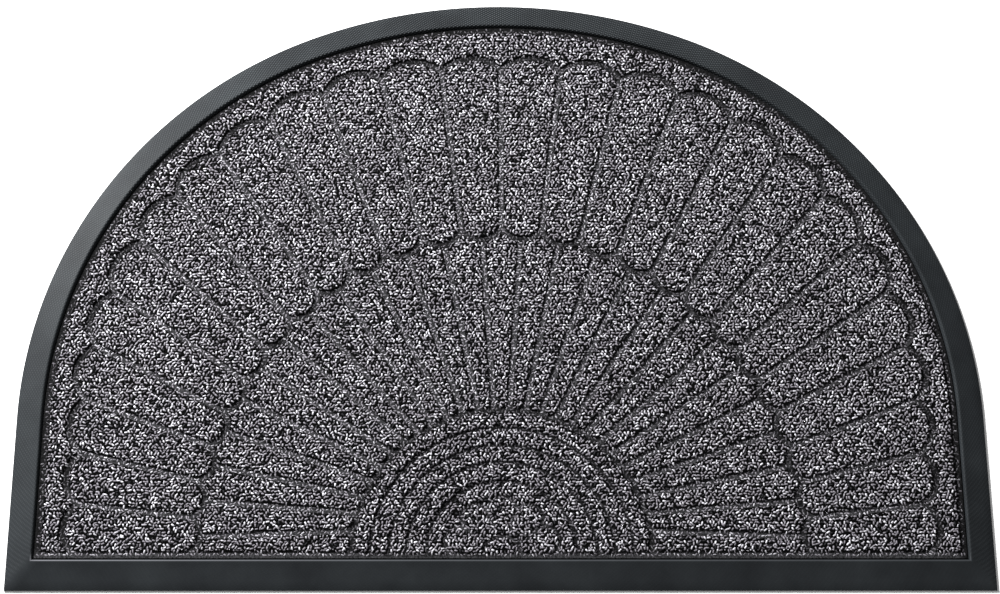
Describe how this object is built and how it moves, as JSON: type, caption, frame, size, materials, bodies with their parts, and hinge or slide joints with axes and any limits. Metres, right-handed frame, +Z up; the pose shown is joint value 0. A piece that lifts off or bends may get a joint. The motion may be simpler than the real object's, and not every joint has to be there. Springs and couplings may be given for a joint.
{
  "type": "rubber entrance mat",
  "caption": "Half-round entrance mat: a moulded rubber base with a bevelled border, and a carpet inlay pressed with a fan of round-ended petals.",
  "frame": {"origin": "middle of the mat's footprint box, on its underside", "axes": "+X along the straight front edge, +Y from the straight edge towards the crown of the arch, +Z up out of the pile"},
  "size_m": [0.9, 0.59, 0.007],
  "materials": {
    "rubber": "moulded, matt, with a fine knurl on the border",
    "carpet": "short looped polypropylene pile, charcoal and grey melange, heat-pressed grooves"
  },
  "bodies": {
    "root": {"rubber_base": "rubber", "carpet_inlay": "carpet"}
  },
  "joints": []
}
